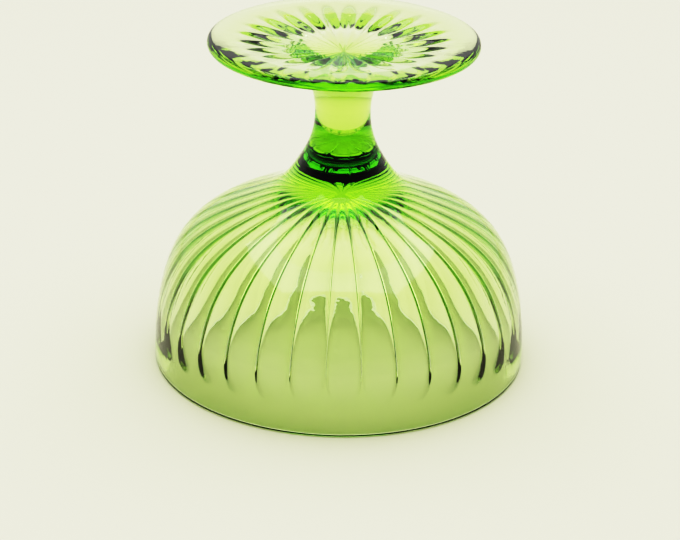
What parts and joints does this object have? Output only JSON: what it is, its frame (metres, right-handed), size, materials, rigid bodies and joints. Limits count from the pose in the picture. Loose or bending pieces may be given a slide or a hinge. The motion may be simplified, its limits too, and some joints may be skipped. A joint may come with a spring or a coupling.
{
  "type": "uranium glass sherbet dish",
  "caption": "Footed sherbet dish in pressed green uranium glass, fluted inside the bowl and under the foot, stored upturned on its rim.",
  "frame": {"origin": "centre of the bowl's rim plane, which is the plane that the upturned dish stands on", "axes": "+Z along the dish's axis from the rim up to the foot, so the dish is upside down here and is turned half a turn about X for use; X and Y across the dish, with a mould seam 12 degrees from -Y towards +X"},
  "size_m": [0.1, 0.1, 0.09],
  "materials": {
    "uranium_glass": "pressed and fire polished, transparent yellow-green"
  },
  "bodies": {
    "root": {"bowl": "uranium_glass", "stem": "uranium_glass", "foot": "uranium_glass"}
  },
  "joints": []
}
